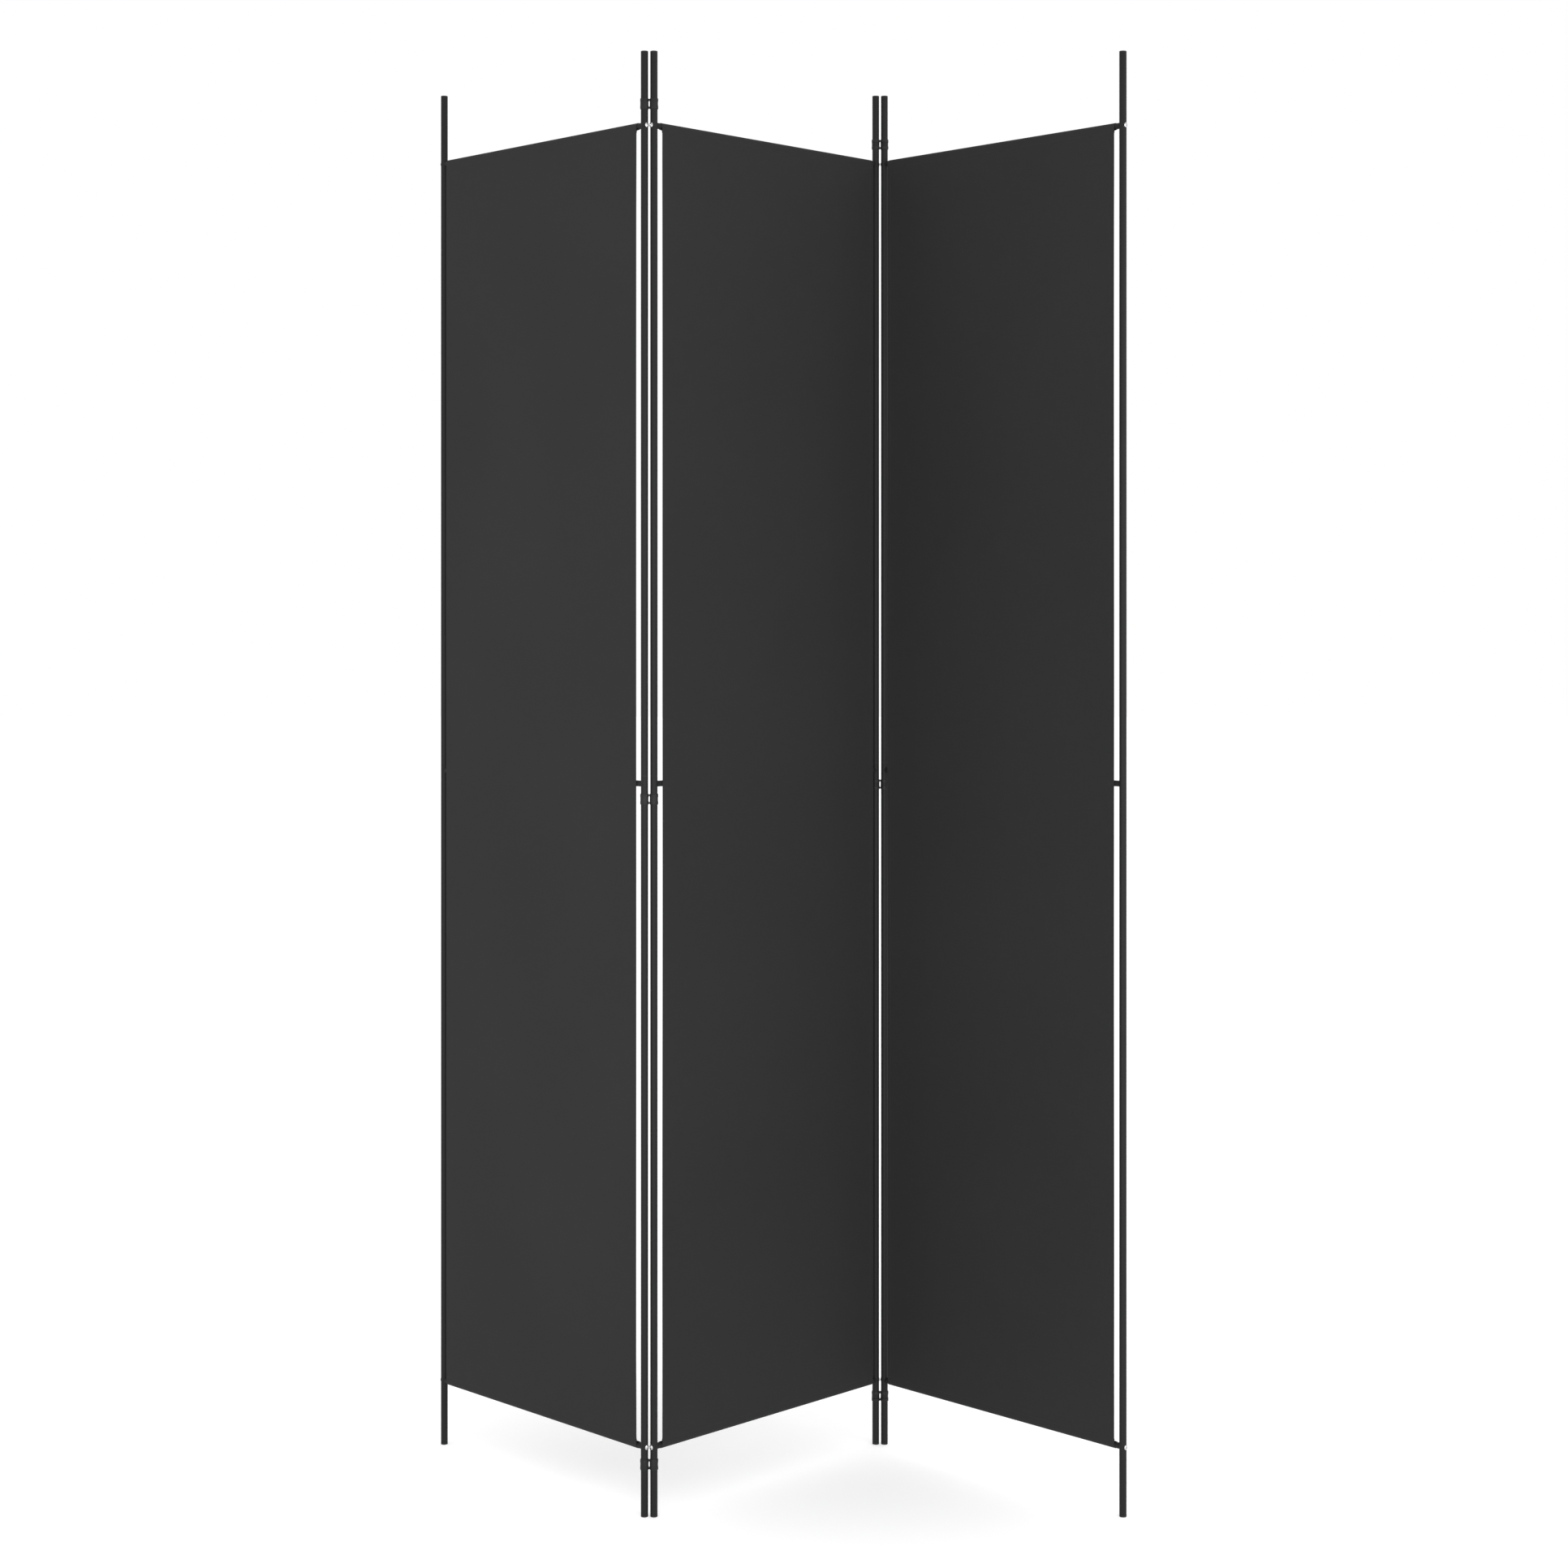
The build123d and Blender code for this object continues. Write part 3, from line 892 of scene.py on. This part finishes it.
class ClothShape:
    """The sheet of one panel: a path down the cloth, a pocket at each end, swept across between hems."""

    def __init__(self, sizes, place, number):
        low, high = place.span("cloth")
        self.edges = (low.x + sizes.cloth_slide[number], high.x + sizes.cloth_slide[number])
        self.face = -low.y - sizes.cloth_thickness / 2
        self.top = RAIL_HEIGHTS["top"]
        self.bottom = RAIL_HEIGHTS["bottom"]
        self.layer = sizes.cloth_layer
        self.drop = sizes.pocket_drop
        self.hem = sizes.hem_width
        self.wave_height = sizes.wave_height
        random = np.random.default_rng(sizes.seed + number)
        self.waves = [(random.uniform(1.5, 6.0), random.uniform(0.6, 2.4), random.uniform(0, 2 * math.pi),
                       random.uniform(0.5, 1.0)) for _ in range(5)]
        self.pucker = random.uniform(0, 2 * math.pi, 3)

    def pocket(self, gap):
        """Half of the path, from the top pocket's tucked end to the cloth's front, as (y, z) points from the
        rail's axis. The tucked end lies gap behind the front layer."""
        seam = (-self.face + gap, -self.drop)
        reach = math.hypot(*seam)
        slope = math.atan2(-seam[1], -seam[0]) - math.asin(self.face / reach)
        run = math.sqrt(reach ** 2 - self.face ** 2)
        leave = (seam[0] + run * math.cos(slope), seam[1] + run * math.sin(slope))
        start = math.degrees(math.atan2(leave[1], leave[0]))
        tucked = [(seam[0], seam[1] - TUCK_LENGTH * k / 3) for k in (3, 2, 1)]
        bend_start = (seam[0], seam[1] - BEND_BEFORE)
        bend_end = (seam[0] + BEND_AFTER * math.cos(slope), seam[1] + BEND_AFTER * math.sin(slope))
        bend = []
        for k in range(4):
            t = k / 3
            weights = ((1 - t) ** 2, 2 * t * (1 - t), t ** 2)
            points = zip(bend_start, seam, bend_end)
            bend.append(tuple(sum(w * c for w, c in zip(weights, coordinates)) for coordinates in points))
        strand = [tuple(a + (b - a) * k / 4 for a, b in zip(bend_end, leave)) for k in (1, 2, 3)]
        return tucked + bend + strand + corner((0, 0), self.face, start, 180, WRAP_STEPS)

    def path(self, gap):
        """The whole path down the cloth, as (y, z) points."""
        pocket = self.pocket(gap)
        height = self.top - self.bottom
        far = height - 2 * NEAR_REACH
        far_rows = max(2, round(far / ROW_STEP))
        drops = [NEAR_REACH * k / NEAR_ROWS for k in range(1, NEAR_ROWS + 1)]
        drops += [NEAR_REACH + far * k / far_rows for k in range(1, far_rows)]
        drops += [height - NEAR_REACH * k / NEAR_ROWS for k in range(NEAR_ROWS, 0, -1)]
        points = [(y, self.top + z) for y, z in pocket]
        points += [(-self.face, self.top - drop) for drop in drops]
        points += [(y, self.bottom - z) for y, z in reversed(pocket)]
        return np.array(points)

    def across(self):
        """The path across the cloth with both hems, as (along, depth) points. Depth is towards the back."""
        left, right = self.edges
        turn = self.layer / 2
        hem = [(self.hem * k / 4, self.layer) for k in (4, 3, 2, 1)]
        hem += [(turn - turn * math.sin(a), turn + turn * math.cos(a)) for a in np.linspace(0, math.pi, 7)]
        hem += [(step, 0.0) for step in (*HEM_COLUMNS, self.hem)]
        flat_width = right - left - 2 * self.hem
        count = round(flat_width / COLUMN_STEP)
        points = [(left + along, depth) for along, depth in hem]
        points += [(left + (self.hem + flat_width * k / count), 0.0) for k in range(1, count)]
        points += [(right - along, depth) for along, depth in reversed(hem)]
        return np.array(points)

    def lift(self, along, height):
        """How far the stretched cloth stands forward of its flat place."""
        left, right = self.edges
        u = (along - left) / (right - left)
        w = (height - self.bottom) / (self.top - self.bottom)
        soft = sum(weight * np.sin(2 * math.pi * (k * 0.35 * u + m * w) + phase)
                   for k, m, phase, weight in self.waves)
        above = height - self.bottom - self.drop
        below = self.top - self.drop - height
        ends = np.clip(above / WAVE_RISE, 0, 1) * np.clip(below / WAVE_RISE, 0, 1)
        near = np.minimum(np.abs(below), np.abs(above))
        gathers = sum(np.sin(2 * math.pi * along / pitch + phase)
                      for pitch, phase in zip(GATHER_PITCHES, self.pucker))
        fade = np.exp(-near / GATHER_FADE) * np.clip(near / GATHER_START, 0, 1)
        inside = (height > self.bottom + self.drop) & (height < self.top - self.drop)
        waves = self.wave_height * ends * (soft + 3.0) / 3.0
        return inside * (waves + GATHER_HEIGHT * fade * (gathers + 3.0))

    def doubled(self, along):
        """Whether a hem lies under the cloth: 1 near the sides, falling to 0 just past the hem."""
        left, right = self.edges
        inside = np.minimum(along - left, right - along)
        return np.clip(1.6 - inside / self.hem, 0, 1)

    def grid(self):
        """All points of the sheet's middle layer, and its unrolled UV, as arrays of rows down the cloth."""
        narrow, wide = self.path(self.layer), self.path(3 * self.layer)
        across = self.across()
        doubled = self.doubled(across[:, 0])[None, :, None]
        path = narrow[:, None, :] * (1 - doubled) + wide[:, None, :] * doubled
        tangent = np.gradient(path, axis=0)
        tangent /= np.linalg.norm(tangent, axis=2, keepdims=True)
        outward = np.stack([tangent[:, :, 1], -tangent[:, :, 0]], axis=2)
        along = np.broadcast_to(across[None, :, 0], path.shape[:2])
        points = path - outward * across[None, :, 1, None]
        on_front = np.abs(narrow[:, 0] + self.face) < 1e-7
        lift = self.lift(along, points[:, :, 1]) * on_front[:, None]
        y = points[:, :, 0] - lift
        u, v = (np.concatenate([[0], np.cumsum(np.linalg.norm(np.diff(line, axis=0), axis=1))])
                for line in (across, narrow))
        return np.stack([along, y, points[:, :, 1]], axis=2), u, v

    def flat(self):
        """Width and length of the cut, before the hems and pockets are folded."""
        _, u, v = self.grid()
        return float(u[-1]), float(v[-1])

    def mesh(self, matrix):
        points, u, v = self.grid()
        rows, columns = points.shape[:2]
        index = np.arange(rows * columns).reshape(rows, columns)
        faces = np.stack([index[:-1, :-1], index[1:, :-1], index[1:, 1:], index[:-1, 1:]], axis=-1)
        mesh = bpy.data.meshes.new("cloth")
        mesh.from_pydata(points.reshape(-1, 3).tolist(), [], faces.reshape(-1, 4).tolist())
        layer = mesh.uv_layers.new(name="cloth")
        corners = np.zeros(len(mesh.loops), int)
        mesh.loops.foreach_get("vertex_index", corners)
        uv = np.stack([u[corners % columns], v[corners // columns]], axis=1)
        layer.data.foreach_set("uv", uv.ravel().astype(np.float32))
        mesh.transform(matrix)
        return mesh


class DIVIDER_OT_cloth(Operator):
    """Make the cloth of every panel: one sheet with rod pockets, folded side hems and soft tension waves"""
    bl_idname = "divider.cloth"
    bl_label = "Cloth panels"

    def execute(self, context):
        sizes = context.scene.divider_sizes
        for number, place in enumerate(PLACES):
            shape = ClothShape(sizes, place, number)
            sheet = add_object("cloth", shape.mesh(place.matrix))
            step = sheet.modifiers.new("thickness", "SOLIDIFY")
            step.thickness = sizes.cloth_thickness
            step.offset = 0.0
            mesh = applied(sheet, "cloth")
            mesh.shade_smooth()
            node = place.node("cloth")
            add_piece(f"{node}_sheet", mesh, "cloth", place.body, "cloth", node)
        return {"FINISHED"}


# Stitches

def stitch_tree(sizes, seed):
    """Lays stitches along edges: one rounded strand at each step, in line with the edge."""
    graph = NodeGraph("stitches", {
        "Pitch": ("Float", sizes.stitch_pitch), "Stitch Length": ("Float", sizes.stitch_length),
        "Thread Radius": ("Float", sizes.thread_radius), "Seed": ("Int", seed)})
    line = graph.node("GeometryNodeMeshToCurve", {}, {"Mesh": graph.named("Geometry")})
    points = graph.node("GeometryNodeResampleCurve", {"mode": "LENGTH"},
                        {"Curve": line, "Length": graph.named("Pitch")})
    tangent = graph.node("GeometryNodeInputTangent", {}, {})
    jitter = graph.node("FunctionNodeRandomValue", {"data_type": "FLOAT_VECTOR"},
                        {0: (-0.05, -0.05, -0.05), 1: (0.05, 0.05, 0.05), "Seed": graph.named("Seed")})
    slant = graph.node("ShaderNodeVectorMath", {"operation": "ADD"}, {0: tangent, 1: jitter})
    aim = graph.node("FunctionNodeAlignRotationToVector", {"axis": "Z"}, {"Vector": slant})
    half = graph.node("ShaderNodeMath", {"operation": "MULTIPLY"}, {0: graph.named("Stitch Length"), 1: 0.5})
    radius = graph.named("Thread Radius")
    size = graph.node("ShaderNodeCombineXYZ", {}, {0: radius, 1: radius, 2: half})
    ball = graph.node("GeometryNodeMeshUVSphere", {}, {"Segments": 6, "Rings": 4, "Radius": 1.0})
    smooth_ball = graph.node("GeometryNodeSetShadeSmooth", {}, {"Geometry": ball, "Shade Smooth": True})
    strand = graph.node("GeometryNodeTransform", {}, {"Geometry": smooth_ball, "Scale": size})
    graph.end(points, strand, aim)
    return graph


def seam_lines(shape, sizes):
    """Runs of points for the seams, on the front and on the back of the cloth."""
    left, right = shape.edges
    skin = sizes.cloth_thickness / 2 + 0.25 * sizes.thread_radius

    def run(along, depth, height):
        """Points from three arrays, or a number where every point has the same."""
        return np.stack(np.broadcast_arrays(along, depth, height), axis=1)

    lines = []
    along = np.arange(left + 2 * MM, right - 2 * MM, SEAM_STEP)
    for rail, side in ((shape.top, -1), (shape.bottom, 1)):
        height = rail + side * (shape.drop + SEAM_OFFSET)
        lift = shape.lift(along, height)
        layers = shape.layer * (1 + 2 * shape.doubled(along))
        lines.append(run(along, -shape.face - skin - lift, height))
        lines.append(run(along, -shape.face + layers + skin, height))
    heights = np.arange(shape.bottom, shape.top, SEAM_STEP)
    clear = shape.drop + TUCK_LENGTH + 1 * MM
    kept = (heights > shape.bottom + clear) & (heights < shape.top - clear)
    seam_inset = sizes.hem_width - HEM_SEAM_INSET
    for seam_along in (left + seam_inset, right - seam_inset):
        lift = shape.lift(seam_along, heights)
        lines.append(run(seam_along, -shape.face - skin - lift, heights))
        lines.append(run(seam_along, -shape.face + shape.layer + skin - lift, heights)[kept])
    return lines


class DIVIDER_OT_stitches(Operator):
    """Sew the pockets and the hems of every cloth"""
    bl_idname = "divider.stitches"
    bl_label = "Stitches"

    def execute(self, context):
        sizes = context.scene.divider_sizes
        for number, place in enumerate(PLACES):
            shape = ClothShape(sizes, place, number)
            vertices, edges = [], []
            for line in seam_lines(shape, sizes):
                start = len(vertices)
                vertices += line.tolist()
                edges += [(start + k, start + k + 1) for k in range(len(line) - 1)]
            seams = bpy.data.meshes.new("seams")
            seams.from_pydata(vertices, edges, [])
            seams.transform(place.matrix)
            mesh = stitch_tree(sizes, sizes.seed + number).run_on(seams)
            made = add_piece(place.node("cloth_stitches"), mesh, "thread", place.body, "cloth")
            rails = [place.node("top_rail_tube"), place.node("bottom_rail_tube")]
            bpy.data.objects[place.node("cloth_sheet")]
            shape.flat()
        return {"FINISHED"}


# Studio

CAMERA_PLACE = (0.0228, -4.128, 1.358)
CAMERA_LENS = 60.48
CAMERA_SHIFT_Y = -0.1097


def area_light(name, place, target, size, power):
    data = bpy.data.lights.new(name, "AREA")
    data.shape = "RECTANGLE"
    data.size, data.size_y = size
    data.energy = power
    lamp = bpy.data.objects.new(name, data)
    lamp.location = place
    lamp.rotation_euler = (Vector(target) - Vector(place)).to_track_quat("-Z", "Y").to_euler()
    bpy.context.scene.collection.objects.link(lamp)


class DIVIDER_OT_stage(Operator):
    """Set up the pale floor, the soft studio light and the camera"""
    bl_idname = "divider.stage"
    bl_label = "Stage"

    def execute(self, context):
        scene = context.scene
        data = bpy.data.cameras.new("camera")
        data.sensor_width = 36.0
        data.lens = CAMERA_LENS
        data.shift_y = CAMERA_SHIFT_Y
        data.clip_end = 100.0
        camera = bpy.data.objects.new("camera", data)
        camera.location = CAMERA_PLACE
        camera.rotation_euler = (math.pi / 2, 0, 0)
        scene.collection.objects.link(camera)
        scene.camera = camera

        bm = bmesh.new()
        bmesh.ops.create_grid(bm, x_segments=8, y_segments=8, size=30.0)
        mesh = bpy.data.meshes.new("floor")
        bm.to_mesh(mesh)
        bm.free()
        floor = add_object("floor", mesh, finish_of("floor"))

        world = bpy.data.worlds.new("studio_world")
        world.use_nodes = True
        background = world.node_tree.nodes["Background"]
        background.inputs["Color"].default_value = (1.0, 1.0, 1.0, 1.0)
        background.inputs["Strength"].default_value = 1.0
        scene.world = world

        centre = (0.0, 0.0, 1.1)
        area_light("key", (-3.2, -3.0, 0.8), centre, (2.0, 2.0), 26.0)
        area_light("front", (0.0, -4.6, 0.5), centre, (3.0, 0.8), 85.0)
        area_light("fill", (3.4, -3.0, 1.6), centre, (2.0, 2.4), 58.0)
        scene.view_settings.view_transform = "Standard"
        scene.view_settings.look = "None"
        return {"FINISHED"}


# Sidebar and registration

STEPS = ("stage", "posts", "rails", "caps", "clips", "screws", "plugs", "cloth", "stitches")


class DIVIDER_PT_pieces(Panel):
    """Lists the pieces in the order in which they are made"""
    bl_label = "Folding room divider"
    bl_idname = "DIVIDER_PT_pieces"
    bl_space_type = "VIEW_3D"
    bl_region_type = "UI"
    bl_category = "Divider"

    def draw(self, context):
        column = self.layout.column(align=True)
        for step in STEPS:
            column.operator(f"divider.{step}")
        for group in (context.scene.divider_sizes, context.scene.divider_colours):
            box = self.layout.box()
            for name in group.__annotations__:
                box.prop(group, name)


CLASSES = (
    DividerSizes, DividerColours, DIVIDER_OT_stage, DIVIDER_OT_posts, DIVIDER_OT_rails, DIVIDER_OT_caps,
    DIVIDER_OT_clips, DIVIDER_OT_screws, DIVIDER_OT_plugs, DIVIDER_OT_cloth, DIVIDER_OT_stitches,
    DIVIDER_PT_pieces,
)


def register():
    for item in CLASSES:
        bpy.utils.register_class(item)
    bpy.types.Scene.divider_sizes = PointerProperty(type=DividerSizes)
    bpy.types.Scene.divider_colours = PointerProperty(type=DividerColours)


def unregister():
    del bpy.types.Scene.divider_colours
    del bpy.types.Scene.divider_sizes
    for item in reversed(CLASSES):
        bpy.utils.unregister_class(item)


def main():
    """Makes every piece."""
    register()
    for step in STEPS:
        getattr(bpy.ops.divider, step)()


if __name__ == "__main__":
    main()
